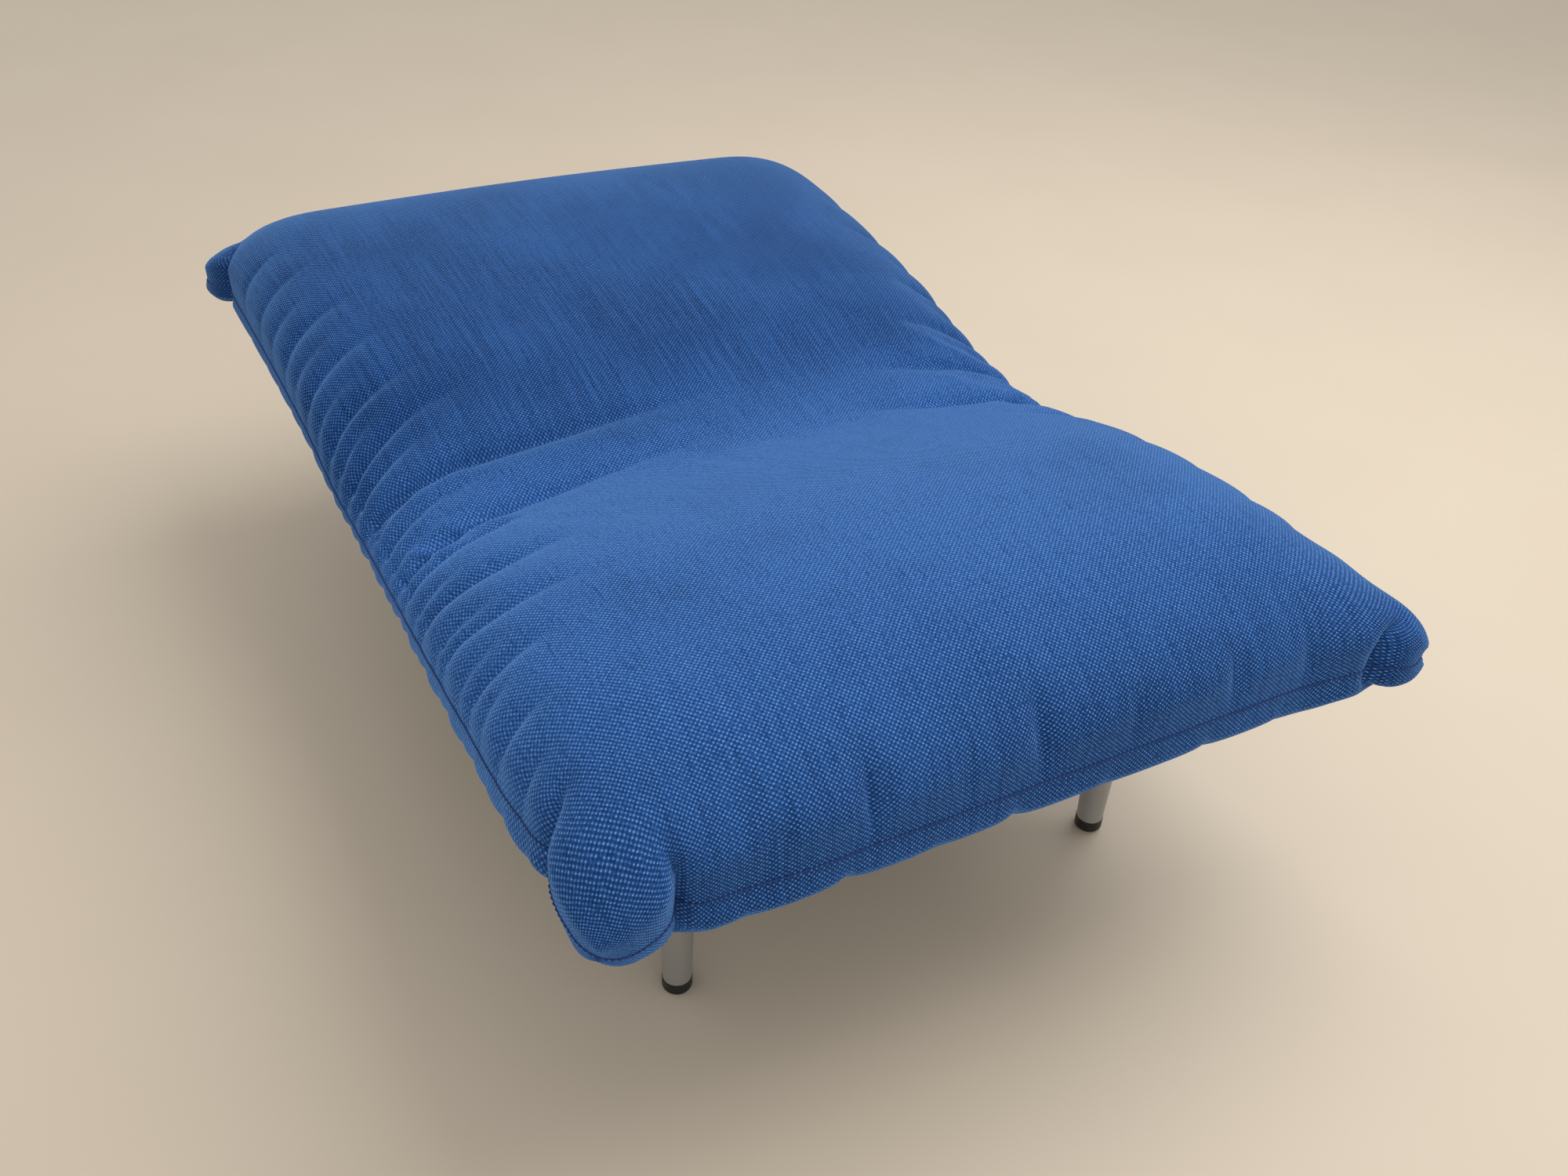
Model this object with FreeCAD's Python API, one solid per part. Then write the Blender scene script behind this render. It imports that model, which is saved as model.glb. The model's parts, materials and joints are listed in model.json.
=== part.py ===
"""Low reclining lounge chair: a tube frame on four tapered legs, a back on two ratchet hinges, and one
thick quilt that covers seat and back. Millimetres. X is across, -Y is the front, +Z is up, and the origin
is on the floor under the middle of the whole chair. Left is -X, as seen from the front."""
import FreeCAD, Part
import math
import os

V = FreeCAD.Vector

# Overall, with the back laid down
LENGTH = 1200.0
WIDTH = 790.0

# Back hinge
HINGE_Y = -70.0
HINGE_Z = 225.0
REST_ANGLE = 5.5          # slope of the back when it lies on its buffers
TOOTH_PITCH = 10.0        # degrees per ratchet step
STEPS = 7
TRAVEL = TOOTH_PITCH * STEPS

# Seat frame, square tube
BASE_TUBE = 25.0
TUBE_WALL = 1.5
TUBE_CORNER = 2.5
RAIL_X = 234.0
RAIL_FRONT_Y = -500.0
RAIL_REAR_Y = 205.0
MIDDLE_RAIL_Y = HINGE_Y - 50.0
REAR_RAIL_DROP = 6.0

# Back frame, square tube
BACK_TUBE = 20.0
BACK_START = 22.0         # from the hinge to the lower end of the side rails
BACK_LENGTH = 560.0       # from the hinge to the top of the frame
BACK_BOTTOM_RAIL = 42.0   # from the hinge to the middle of the lowest cross rail

# Legs
FRONT_LEG_Y = -409.0
REAR_LEG_Y = 140.0
LEG_TOP_DIAMETER = 38.0
LEG_FOOT_DIAMETER = 26.5
LEG_WALL = 1.5
GLIDE_HEIGHT = 14.0
GLIDE_DIAMETER = 27.5
LEG_LID = 6.0             # closed top of the leg
PLATE_THICKNESS = 4.0
STUD_RADIUS = 4.0
STUD_LENGTH = 22.0
STUD_NUT = 13.0           # across flats

# Ratchet hinge, layers counted inwards from the inner face of the side rail
HINGE_PLATE = 3.0
WASHER = 1.0
GAP = 0.1
BOLT_RADIUS = 5.0
BOLT_HEX = 16.0           # across flats
BOLT_HEAD = 6.4
NUT_HEIGHT = 8.0
PIN_RADIUS = 3.0
RUNNING_CLEARANCE = 0.05
TOOTH_OUTER = 30.0
TOOTH_ROOT = 25.0
HUB_RADIUS = 14.0
PAWL_Y = 34.0             # pawl pin, from the hinge
PAWL_Z = -26.0
PAWL_SWING = 9.0          # from clear of the teeth to home between two of them

# Webbing
STRAP_WIDTH = 50.0
STRAP = 2.0

# Quilt
QUILT_GAP = 0.5
COVER = 4.0               # woven cover with its backing wadding
SEAT_UNDERSIDE = 243.5
BACK_UNDERSIDE = 14.8     # square off the line through the hinge along the back rails
BEND_HALF = TRAVEL / 2 + 0.5   # half the angle of the wedge that takes up the bend

# Plastic plugs in the tube ends
CAP_FLANGE = 2.5
CAP_PLUG = 12.0

# Derived places
RAIL_TOP = HINGE_Z + BASE_TUBE / 2
RAIL_BOTTOM = HINGE_Z - BASE_TUBE / 2
RAIL_INNER = RAIL_X - BASE_TUBE / 2
RAIL_OUTER = RAIL_X + BASE_TUBE / 2
BASE_PLATE_INNER = RAIL_INNER - HINGE_PLATE
TOOTH_PLATE_OUTER = BASE_PLATE_INNER - WASHER - GAP
TOOTH_PLATE_INNER = TOOTH_PLATE_OUTER - HINGE_PLATE
BACK_RAIL_X = TOOTH_PLATE_INNER - BACK_TUBE / 2
PIVOT = V(0, HINGE_Y, HINGE_Z)
PAWL_PIVOT = V(0, HINGE_Y + PAWL_Y, HINGE_Z + PAWL_Z)
X_AXIS = V(1, 0, 0)
SIDES = {"left": -1, "right": 1}


# ---- small shapes ----

def box(low, high):
    """Block between two corners."""
    size = [b - a for a, b in zip(low, high)]
    return Part.makeBox(size[0], size[1], size[2], V(*low))


def rounded_block(low, high, axis, radius):
    """Block with the four edges that run along one axis rounded."""
    block = box(low, high)
    direction = V(*[1 if i == axis else 0 for i in range(3)])
    edges = [e for e in block.Edges if abs(e.tangentAt(e.FirstParameter).dot(direction)) > 0.9]
    return block.makeFillet(radius, edges)


def square_tube(low, high, axis):
    """Hollow square tube between two corners, open at both ends."""
    inset = [0 if i == axis else TUBE_WALL for i in range(3)]
    inner_low = [a + d for a, d in zip(low, inset)]
    inner_high = [b - d for b, d in zip(high, inset)]
    outer = rounded_block(low, high, axis, TUBE_CORNER)
    return outer.cut(rounded_block(inner_low, inner_high, axis, TUBE_CORNER - TUBE_WALL))


def rod_x(x0, x1, y, z, radius):
    """Round bar along X."""
    return Part.makeCylinder(radius, x1 - x0, V(x0, y, z), X_AXIS)


def hexagon_x(x0, x1, y, z, across_flats):
    """Hexagonal bar along X."""
    corner = across_flats / math.sqrt(3)
    points = [(y + corner * math.cos(math.radians(60 * k)), z + corner * math.sin(math.radians(60 * k)))
              for k in range(6)]
    return prism_x(points, x0, x1)


def prism_x(points, x0, x1):
    """Outline in Y and Z, drawn out along X."""
    corners = [V(x0, y, z) for y, z in points]
    face = Part.Face(Part.makePolygon(corners + [corners[0]]))
    return face.extrude(V(x1 - x0, 0, 0))


def prism_y(points, y0, y1):
    """Outline in X and Z, drawn out along Y."""
    corners = [V(x, y0, z) for x, z in points]
    face = Part.Face(Part.makePolygon(corners + [corners[0]]))
    return face.extrude(V(0, y1 - y0, 0))


def about_hinge(points):
    """Points measured from the hinge, moved to where the hinge is."""
    return [(HINGE_Y + y, HINGE_Z + z) for y, z in points]


def polar(radius, degrees):
    """Point at a radius and a direction from the hinge; 0 is backwards and 90 is up."""
    return radius * math.cos(math.radians(degrees)), radius * math.sin(math.radians(degrees))


def on_side(shape, side):
    """A shape made for the right side, or its mirror image for the left."""
    return shape if side == "right" else shape.mirror(V(0, 0, 0), X_AXIS)


def laid_back(shape):
    """A shape drawn with the back level, turned to the slope at which the back lies."""
    shape.rotate(PIVOT, X_AXIS, REST_ANGLE)
    return shape


# ---- seat frame ----

def base_side_rail(side):
    rail = square_tube((RAIL_INNER, RAIL_FRONT_Y, RAIL_BOTTOM), (RAIL_OUTER, RAIL_REAR_Y, RAIL_TOP), 1)
    rail = rail.cut(rod_x(RAIL_INNER - 1, RAIL_OUTER + 1, HINGE_Y, HINGE_Z, BOLT_RADIUS + RUNNING_CLEARANCE))
    for y in (FRONT_LEG_Y, REAR_LEG_Y):
        hole = Part.makeCylinder(STUD_RADIUS + RUNNING_CLEARANCE, 2 * TUBE_WALL, V(RAIL_X, y, RAIL_BOTTOM - 1))
        rail = rail.cut(hole)
    return on_side(rail, side)


def base_cross_rail(y, drop=0.0):
    half = BASE_TUBE / 2
    return square_tube((-RAIL_INNER, y - half, RAIL_BOTTOM - drop), (RAIL_INNER, y + half, RAIL_TOP - drop), 0)


def end_cap(x, y, z, tube, outward):
    """Plastic plug in the end of a square tube that runs along Y."""
    half = tube / 2
    stub = half - TUBE_WALL - RUNNING_CLEARANCE
    flange = rounded_block((x - half, min(y, y + CAP_FLANGE * outward), z - half),
                           (x + half, max(y, y + CAP_FLANGE * outward), z + half), 1, TUBE_CORNER)
    plug = rounded_block((x - stub, min(y, y - CAP_PLUG * outward), z - stub),
                         (x + stub, max(y, y - CAP_PLUG * outward), z + stub), 1, TUBE_CORNER)
    return flange.fuse(plug).removeSplitter()


def base_end_caps():
    caps = [end_cap(sign * RAIL_X, y, HINGE_Z, BASE_TUBE, outward)
            for sign in (-1, 1) for y, outward in ((RAIL_FRONT_Y, -1), (RAIL_REAR_Y, 1))]
    return Part.makeCompound(caps)


# ---- legs ----

def leg_places():
    return {f"{end}_{side}": (sign * RAIL_X, y)
            for end, y in (("front", FRONT_LEG_Y), ("rear", REAR_LEG_Y)) for side, sign in SIDES.items()}


def leg_plate(x, y):
    """Steel plate welded under the side rail, with a hole for the stud."""
    top = RAIL_BOTTOM
    plate = rounded_block((x - 30, y - 35, top - PLATE_THICKNESS), (x + 30, y + 35, top), 2, 8)
    hole = Part.makeCylinder(STUD_RADIUS + RUNNING_CLEARANCE, 3 * PLATE_THICKNESS, V(x, y, top - 2 * PLATE_THICKNESS))
    return plate.cut(hole)


def leg(x, y):
    """Tapered steel tube, closed at the top by a disc that the stud goes through."""
    top = RAIL_BOTTOM - PLATE_THICKNESS
    foot = LEG_FOOT_DIAMETER / 2
    head = LEG_TOP_DIAMETER / 2
    outer = Part.makeCone(foot, head, top - GLIDE_HEIGHT, V(x, y, GLIDE_HEIGHT))
    hollow = Part.makeCone(foot - LEG_WALL, head - LEG_WALL, top - GLIDE_HEIGHT, V(x, y, GLIDE_HEIGHT))
    lid = Part.makeCylinder(head + 1, LEG_LID + 1, V(x, y, top - LEG_LID))
    stud_hole = Part.makeCylinder(STUD_RADIUS, 3 * LEG_LID, V(x, y, top - 2 * LEG_LID))
    return outer.cut(hollow.cut(lid)).cut(stud_hole)


def leg_studs():
    """Threaded studs that hold the legs, each with its lower end in the leg's closed top."""
    bottom = RAIL_BOTTOM - PLATE_THICKNESS - LEG_LID
    studs = [Part.makeCylinder(STUD_RADIUS, STUD_LENGTH, V(x, y, bottom)) for x, y in leg_places().values()]
    return Part.makeCompound(studs)


def leg_nuts():
    """Hexagonal nuts inside the side rails, on the studs."""
    nuts = []
    seat = RAIL_BOTTOM + TUBE_WALL
    for x, y in leg_places().values():
        nut = hexagon_x(0, STUD_NUT / 2, 0, 0, STUD_NUT)
        nut.rotate(V(0, 0, 0), V(0, 1, 0), -90)
        nut.translate(V(x, y, seat))
        nuts.append(nut.cut(Part.makeCylinder(STUD_RADIUS + RUNNING_CLEARANCE, 10.0, V(x, y, seat - 1))))
    return Part.makeCompound(nuts)


def glide(x, y):
    """Rubber foot with a rounded tread and a stem up inside the leg."""
    radius = GLIDE_DIAMETER / 2
    foot = Part.makeCylinder(radius, GLIDE_HEIGHT, V(x, y, 0))
    tread = [e for e in foot.Edges if abs(e.BoundBox.ZMax) < 0.01]
    foot = foot.makeFillet(4.5, tread)
    stem = Part.makeCylinder(LEG_FOOT_DIAMETER / 2 - LEG_WALL - RUNNING_CLEARANCE, 12.0, V(x, y, GLIDE_HEIGHT - 1))
    return foot.fuse(stem).removeSplitter()


# ---- ratchet hinges ----

def hinge_base_plate(side):
    """Stamped plate welded to the inner face of the side rail; it carries the pivot and the pawl pin."""
    outline = [(-34, 10), (60, 10), (60, -14), (52, -38), (30, -52), (-10, -52), (-34, -28)]
    plate = prism_x(about_hinge(outline), BASE_PLATE_INNER, RAIL_INNER)
    corners = [e for e in plate.Edges if abs(e.tangentAt(e.FirstParameter).x) > 0.9]
    plate = plate.makeFillet(5.0, corners)
    plate = plate.cut(rod_x(0, RAIL_X, HINGE_Y, HINGE_Z, BOLT_RADIUS + RUNNING_CLEARANCE))
    return on_side(plate.cut(rod_x(0, RAIL_X, PAWL_PIVOT.y, PAWL_PIVOT.z, PIN_RADIUS)), side)


def ratchet_outline():
    """Toothed sector about the hinge. A gap faces straight down at both ends of the back's travel."""
    points = [(0, 0)]
    first = 270 - TRAVEL - TOOTH_PITCH / 2
    for step in range(STEPS + 1):
        middle = 270 - TRAVEL + step * TOOTH_PITCH
        points.append(polar(TOOTH_OUTER, middle - 3.8))
        points.append(polar(TOOTH_ROOT, middle - 1.2))
        points.append(polar(TOOTH_ROOT, middle + 1.2))
        points.append(polar(TOOTH_OUTER, middle + 3.8))
    points[1:1] = [polar(TOOTH_OUTER, first)]
    points.append(polar(TOOTH_OUTER, 270 + TOOTH_PITCH / 2))
    return about_hinge(points)


def hinge_tooth_plate(side):
    """Arm on the back rail, with the hub and the toothed sector that turn between the washers."""
    x0, x1 = TOOTH_PLATE_INNER, TOOTH_PLATE_OUTER
    half = BACK_TUBE / 2
    hub = rod_x(x0, x1, HINGE_Y, HINGE_Z, HUB_RADIUS)
    arm = laid_back(rounded_block((x0, HINGE_Y, HINGE_Z - half), (x1, HINGE_Y + 100, HINGE_Z + half), 0, 5))
    teeth = prism_x(ratchet_outline(), x0, x1)
    plate = hub.fuse([arm, teeth]).removeSplitter()
    return on_side(plate.cut(rod_x(x0 - 1, x1 + 1, HINGE_Y, HINGE_Z, BOLT_RADIUS + RUNNING_CLEARANCE)), side)


def pawl(side):
    """Lever on the pawl pin whose nose drops between two teeth. It is drawn home, then swung clear."""
    x0, x1 = TOOTH_PLATE_INNER, TOOTH_PLATE_OUTER
    arm = [(-2.2, -31.3), (-1.5, -30), (-0.35, -26), (0.35, -26), (1.5, -30), (2.2, -31.3),
           (27, -31.3), (PAWL_Y, PAWL_Z), (PAWL_Y, -34), (20, -38), (0, -38), (-2.2, -36)]
    lever = prism_x(about_hinge(arm), x0, x1)
    lever = lever.fuse(rod_x(x0, x1, PAWL_PIVOT.y, PAWL_PIVOT.z, 8)).removeSplitter()
    lever = lever.cut(rod_x(x0 - 1, x1 + 1, PAWL_PIVOT.y, PAWL_PIVOT.z, PIN_RADIUS + RUNNING_CLEARANCE))
    lever.rotate(PAWL_PIVOT, X_AXIS, PAWL_SWING)
    return on_side(lever, side)


def pawl_pin(side):
    """Riveted pin with a flat head on its inner end."""
    shank = rod_x(TOOTH_PLATE_INNER - GAP, RAIL_INNER, PAWL_PIVOT.y, PAWL_PIVOT.z, PIN_RADIUS)
    head = rod_x(TOOTH_PLATE_INNER - GAP - 2, TOOTH_PLATE_INNER - GAP, PAWL_PIVOT.y, PAWL_PIVOT.z, 6)
    return on_side(shank.fuse(head).removeSplitter(), side)


def pawl_spring(side):
    """Leaf spring under the pawl, with a tab that is spot-welded to the base plate."""
    x0, x1 = TOOTH_PLATE_INNER, BASE_PLATE_INNER
    leaf = [(30, -45.5), (10, -47), (-8, -45.5), (-8, -46.3), (10, -47.8), (30, -46.3), (36, -44), (36, -43.2)]
    return on_side(prism_x(about_hinge(leaf), x0, x1), side)


def pivot_bolt(side):
    """Hexagon-headed bolt through the side rail and both hinge plates."""
    end = TOOTH_PLATE_INNER - GAP - WASHER - NUT_HEIGHT - 1
    shank = rod_x(end, RAIL_OUTER, HINGE_Y, HINGE_Z, BOLT_RADIUS)
    head = hexagon_x(RAIL_OUTER, RAIL_OUTER + BOLT_HEAD, HINGE_Y, HINGE_Z, BOLT_HEX)
    return on_side(shank.fuse(head).removeSplitter(), side)


def pivot_nuts():
    """Locking nuts on the inner ends of the pivot bolts."""
    outer = TOOTH_PLATE_INNER - GAP - WASHER
    nut = hexagon_x(outer - NUT_HEIGHT, outer, HINGE_Y, HINGE_Z, BOLT_HEX)
    nut = nut.cut(rod_x(outer - NUT_HEIGHT - 1, outer + 1, HINGE_Y, HINGE_Z, BOLT_RADIUS + RUNNING_CLEARANCE))
    return Part.makeCompound([on_side(nut, side) for side in SIDES])


def pivot_washers():
    """Nylon washers on each side of the toothed plates."""
    rings = []
    for inner in (BASE_PLATE_INNER - WASHER, TOOTH_PLATE_INNER - GAP - WASHER):
        ring = rod_x(inner, inner + WASHER, HINGE_Y, HINGE_Z, 10)
        ring = ring.cut(rod_x(inner - 1, inner + WASHER + 1, HINGE_Y, HINGE_Z, BOLT_RADIUS + RUNNING_CLEARANCE))
        rings += [on_side(ring.copy(), side) for side in SIDES]
    return Part.makeCompound(rings)


def back_buffers():
    """Rubber buffers on the rear cross rail that the back's side rails lie on."""
    radius = 8.0
    y = RAIL_REAR_Y - BASE_TUBE / 2
    slope = math.radians(REST_ANGLE)
    underside = HINGE_Z + (y - radius - HINGE_Y) * math.tan(slope) - BACK_TUBE / 2 / math.cos(slope)
    bottom = RAIL_TOP - REAR_RAIL_DROP
    height = underside - 0.3 - bottom
    pads = [Part.makeCylinder(radius, height, V(sign * BACK_RAIL_X, y, bottom)) for sign in SIDES.values()]
    return Part.makeCompound(pads)


# ---- back frame, drawn level from the hinge backwards and then laid at its slope ----

def back_side_rail(side):
    half = BACK_TUBE / 2
    low = (BACK_RAIL_X - half, HINGE_Y + BACK_START, HINGE_Z - half)
    high = (BACK_RAIL_X + half, HINGE_Y + BACK_LENGTH, HINGE_Z + half)
    return on_side(laid_back(square_tube(low, high, 1)), side)


def back_cross_rail(distance):
    half = BACK_TUBE / 2
    inner = BACK_RAIL_X - half
    y = HINGE_Y + distance
    return laid_back(square_tube((-inner, y - half, HINGE_Z - half), (inner, y + half, HINGE_Z + half), 0))


def back_end_caps():
    ends = ((HINGE_Y + BACK_START, -1), (HINGE_Y + BACK_LENGTH, 1))
    caps = [end_cap(sign * BACK_RAIL_X, y, HINGE_Z, BACK_TUBE, outward)
            for sign in SIDES.values() for y, outward in ends]
    return laid_back(Part.makeCompound(caps))


# ---- webbing ----

def spread(first, last, count):
    """Evenly spaced middles from first to last."""
    return [first + (last - first) * k / (count - 1) for k in range(count)]


def long_straps(y0, y1, z, reach, count):
    """Straps along the chair, flat on the cross rails."""
    half = STRAP_WIDTH / 2
    return Part.makeCompound([box((x - half, y0, z), (x + half, y1, z + STRAP))
                              for x in spread(-reach, reach, count)])


def cross_straps(ys, z, rail_inner, rail_outer):
    """Straps across the chair, over the long ones and down onto the side rails."""
    inset, ramp = 2.0, 22.0
    end = rail_outer - inset
    right = [(end, z), (rail_inner, z), (rail_inner - ramp, z + STRAP)]
    left = [(-x, h) for x, h in reversed(right)]
    lower = right + left
    outline = lower + [(x, h + STRAP) for x, h in reversed(lower)]
    half = STRAP_WIDTH / 2
    return Part.makeCompound([prism_y(outline, y - half, y + half) for y in ys])


def seat_webbing_long():
    half = BASE_TUBE / 2
    return long_straps(RAIL_FRONT_Y + 2, MIDDLE_RAIL_Y + half - 2, RAIL_TOP, 130, 4)


def seat_webbing_cross():
    ys = spread(RAIL_FRONT_Y + 65, MIDDLE_RAIL_Y - 50, 4)
    return cross_straps(ys, RAIL_TOP, RAIL_INNER, RAIL_OUTER)


def back_webbing_long():
    half = BACK_TUBE / 2
    y0 = HINGE_Y + BACK_BOTTOM_RAIL - half + 1
    return laid_back(long_straps(y0, HINGE_Y + BACK_LENGTH - 1, HINGE_Z + half, 120, 4))


def back_webbing_cross():
    half = BACK_TUBE / 2
    ys = spread(HINGE_Y + BACK_BOTTOM_RAIL + 55, HINGE_Y + BACK_LENGTH - 60, 5)
    return laid_back(cross_straps(ys, HINGE_Z + half, BACK_RAIL_X - half, BACK_RAIL_X + half))


# ---- quilt ----

def back_line(y):
    """Height of the quilt's underside over the back frame."""
    slope = math.radians(REST_ANGLE)
    return HINGE_Z + (y - HINGE_Y) * math.tan(slope) + BACK_UNDERSIDE / math.cos(slope)


def quilt_stations():
    """(y, half width, underside, seam height, crown height) from the front edge to the far edge."""
    half = WIDTH / 2
    front, rear = -LENGTH / 2, LENGTH / 2
    return [
        (front, half - 25, 276, 287, 299),
        (front + 30, half, 254, 288, 345),
        (front + 100, half - 4, SEAT_UNDERSIDE, 300, 378),
        (front + 220, half - 12, SEAT_UNDERSIDE, 302, 388),
        (front + 360, half - 16, SEAT_UNDERSIDE, 296, 370),
        (HINGE_Y - 90, half - 20, SEAT_UNDERSIDE, 288, 346),
        (HINGE_Y, half - 22, SEAT_UNDERSIDE + 1, 286, 334),
        (HINGE_Y + 90, half - 20, back_line(HINGE_Y + 90), 297, 352),
        (HINGE_Y + 240, half - 15, back_line(HINGE_Y + 240), 318, 386),
        (HINGE_Y + 400, half - 10, back_line(HINGE_Y + 400), 334, 408),
        (rear - 130, half - 4, back_line(rear - 130), 345, 418),
        (rear - 40, half, back_line(rear - 40), 350, 398),
        (rear, half - 25, 338, 350, 362),
    ]


def quilt_section(y, half, under, seam, crown, inset):
    """Closed outline across the quilt: flat-topped, full at the shoulders and drawn in at the seam."""
    fullness = 2 / 3.0
    points = []
    for k in range(24):
        turn = math.radians(15 * k)
        x = math.copysign(abs(math.cos(turn)) ** fullness, math.cos(turn)) * (half - inset)
        rise = math.copysign(abs(math.sin(turn)) ** fullness, math.sin(turn))
        height = (crown - inset - seam) if rise > 0 else (seam - under - inset)
        points.append(V(x, y, seam + rise * height))
    curve = Part.BSplineCurve()
    curve.interpolate(points, True)
    return Part.Wire(curve.toShape())


def quilt_body(inset):
    """The whole quilt as one closed form, drawn in all round by the inset."""
    stations = quilt_stations()
    wires = []
    for number, (y, half, under, seam, crown) in enumerate(stations):
        end = {0: inset, len(stations) - 1: -inset}.get(number, 0.0)
        thin = min(inset, (crown - under) / 4)
        wires.append(quilt_section(y + end, half - inset + thin, under, seam, crown, thin))
    return Part.makeLoft(wires, True, False)


def bend_ray(degrees, length, shift):
    """Point on a ray from just beside the hinge, used for the faces on each side of the bend."""
    y, z = polar(length, degrees)
    return HINGE_Y + shift + y, HINGE_Z + z


def quilt_regions():
    """Three slabs that part the quilt at the bend: seat, bend and back."""
    front_face, back_face = 90 + BEND_HALF, 90 - BEND_HALF
    far = 700.0
    seat = [bend_ray(front_face, 0, -QUILT_GAP), bend_ray(front_face, far, -QUILT_GAP), (-900, 800), (-900, 0),
            (HINGE_Y - QUILT_GAP, 0)]
    bend = [(HINGE_Y, HINGE_Z), bend_ray(front_face, far, 0), bend_ray(back_face, far, 0)]
    back = [bend_ray(back_face, 0, QUILT_GAP), (HINGE_Y + QUILT_GAP, 0), (900, 0), (900, 800),
            bend_ray(back_face, far, QUILT_GAP)]
    return {name: prism_x(outline, -WIDTH, WIDTH) for name, outline in
            (("seat", seat), ("bend", bend), ("back", back))}


def quilt_pieces():
    """Cover and filling of each region of the quilt."""
    outer = quilt_body(0.0)
    inner = quilt_body(COVER)
    core = quilt_body(COVER + QUILT_GAP)
    skin = outer.cut(inner)
    pieces = {}
    for name, region in quilt_regions().items():
        pieces[f"{name}_cover"] = skin.common(region)
        pieces[f"{name}_filling"] = core.common(region)
    return pieces


def all_parts():
    parts = {
        "base_front_rail": base_cross_rail(RAIL_FRONT_Y + BASE_TUBE / 2),
        "base_middle_rail": base_cross_rail(MIDDLE_RAIL_Y),
        "base_rear_rail": base_cross_rail(RAIL_REAR_Y - BASE_TUBE / 2, REAR_RAIL_DROP),
        "base_end_caps": base_end_caps(),
        "leg_studs": leg_studs(),
        "leg_nuts": leg_nuts(),
        "pivot_nuts": pivot_nuts(),
        "pivot_washers": pivot_washers(),
        "back_buffers": back_buffers(),
        "back_bottom_rail": back_cross_rail(BACK_BOTTOM_RAIL),
        "back_middle_rail": back_cross_rail(BACK_LENGTH / 2),
        "back_top_rail": back_cross_rail(BACK_LENGTH - BACK_TUBE / 2),
        "back_end_caps": back_end_caps(),
        "seat_webbing_long": seat_webbing_long(),
        "seat_webbing_cross": seat_webbing_cross(),
        "back_webbing_long": back_webbing_long(),
        "back_webbing_cross": back_webbing_cross(),
    }
    for side in SIDES:
        parts[f"base_side_rail_{side}"] = base_side_rail(side)
        parts[f"hinge_base_plate_{side}"] = hinge_base_plate(side)
        parts[f"hinge_tooth_plate_{side}"] = hinge_tooth_plate(side)
        parts[f"pawl_{side}"] = pawl(side)
        parts[f"pawl_pin_{side}"] = pawl_pin(side)
        parts[f"pawl_spring_{side}"] = pawl_spring(side)
        parts[f"pivot_bolt_{side}"] = pivot_bolt(side)
        parts[f"back_side_rail_{side}"] = back_side_rail(side)
    for place, (x, y) in leg_places().items():
        parts[f"leg_plate_{place}"] = leg_plate(x, y)
        parts[f"leg_{place}"] = leg(x, y)
        parts[f"glide_{place}"] = glide(x, y)
    parts.update(quilt_pieces())
    return parts


os.makedirs("parts", exist_ok=True)
for node, shape in all_parts().items():
    print(node, "solids", len(shape.Solids), "volume", round(shape.Volume / 1000, 1), "valid", shape.isValid())
    shape.exportStep(f"parts/{node}.step")
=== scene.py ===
"""Looks of a low reclining lounge chair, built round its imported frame.

Metres, in the frame of the CAD model:
X across, -Y the front, +Z up. Left is -X.
The quilt is one padded piece that bends over the back hinge. The legs, rails, webbing and hinges are the
frame's own nodes with better materials.
"""
import json
import math
import bpy
import numpy as np
from mathutils import Matrix, Vector


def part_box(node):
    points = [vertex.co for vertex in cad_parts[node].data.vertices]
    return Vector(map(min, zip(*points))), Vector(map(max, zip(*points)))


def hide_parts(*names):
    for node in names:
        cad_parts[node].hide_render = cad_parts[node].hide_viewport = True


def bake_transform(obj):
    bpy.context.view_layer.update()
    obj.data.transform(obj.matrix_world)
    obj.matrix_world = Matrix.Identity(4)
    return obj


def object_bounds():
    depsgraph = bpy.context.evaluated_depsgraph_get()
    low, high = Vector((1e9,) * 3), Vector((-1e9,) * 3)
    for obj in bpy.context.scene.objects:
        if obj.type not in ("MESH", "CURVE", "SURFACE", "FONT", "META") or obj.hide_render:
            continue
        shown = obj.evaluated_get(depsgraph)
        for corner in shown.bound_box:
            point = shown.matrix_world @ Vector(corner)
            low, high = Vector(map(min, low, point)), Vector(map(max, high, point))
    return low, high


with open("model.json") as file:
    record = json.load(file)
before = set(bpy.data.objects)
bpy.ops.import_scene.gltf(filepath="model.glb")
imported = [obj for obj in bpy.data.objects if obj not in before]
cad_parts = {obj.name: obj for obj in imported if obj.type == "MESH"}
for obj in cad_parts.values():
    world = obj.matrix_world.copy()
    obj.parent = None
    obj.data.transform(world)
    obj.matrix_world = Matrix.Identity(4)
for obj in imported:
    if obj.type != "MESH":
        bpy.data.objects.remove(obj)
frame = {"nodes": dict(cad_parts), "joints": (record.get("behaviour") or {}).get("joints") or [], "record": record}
cad_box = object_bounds()


# ---- places read from the frame ----

RECLINE = next(j for j in frame["joints"] if j["name"] == "back_recline")
HINGE = Vector(RECLINE["pos_m"])
RAIL_LOW, RAIL_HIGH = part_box("back_top_rail")
BACK_SLOPE = math.atan2((RAIL_LOW.z + RAIL_HIGH.z) / 2 - HINGE.z,
                        (RAIL_LOW.y + RAIL_HIGH.y) / 2 - HINGE.y)
FRONT = cad_box[0].y
FAR = cad_box[1].y
SIDE = cad_box[1].x
SEAT_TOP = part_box("seat_webbing_cross")[1].z
FRAME_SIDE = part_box("seat_webbing_cross")[1].x
RAISED = math.radians(RECLINE["range_deg"][1])     # how far the back turns up from rest

# ---- camera and floor ----

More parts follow.
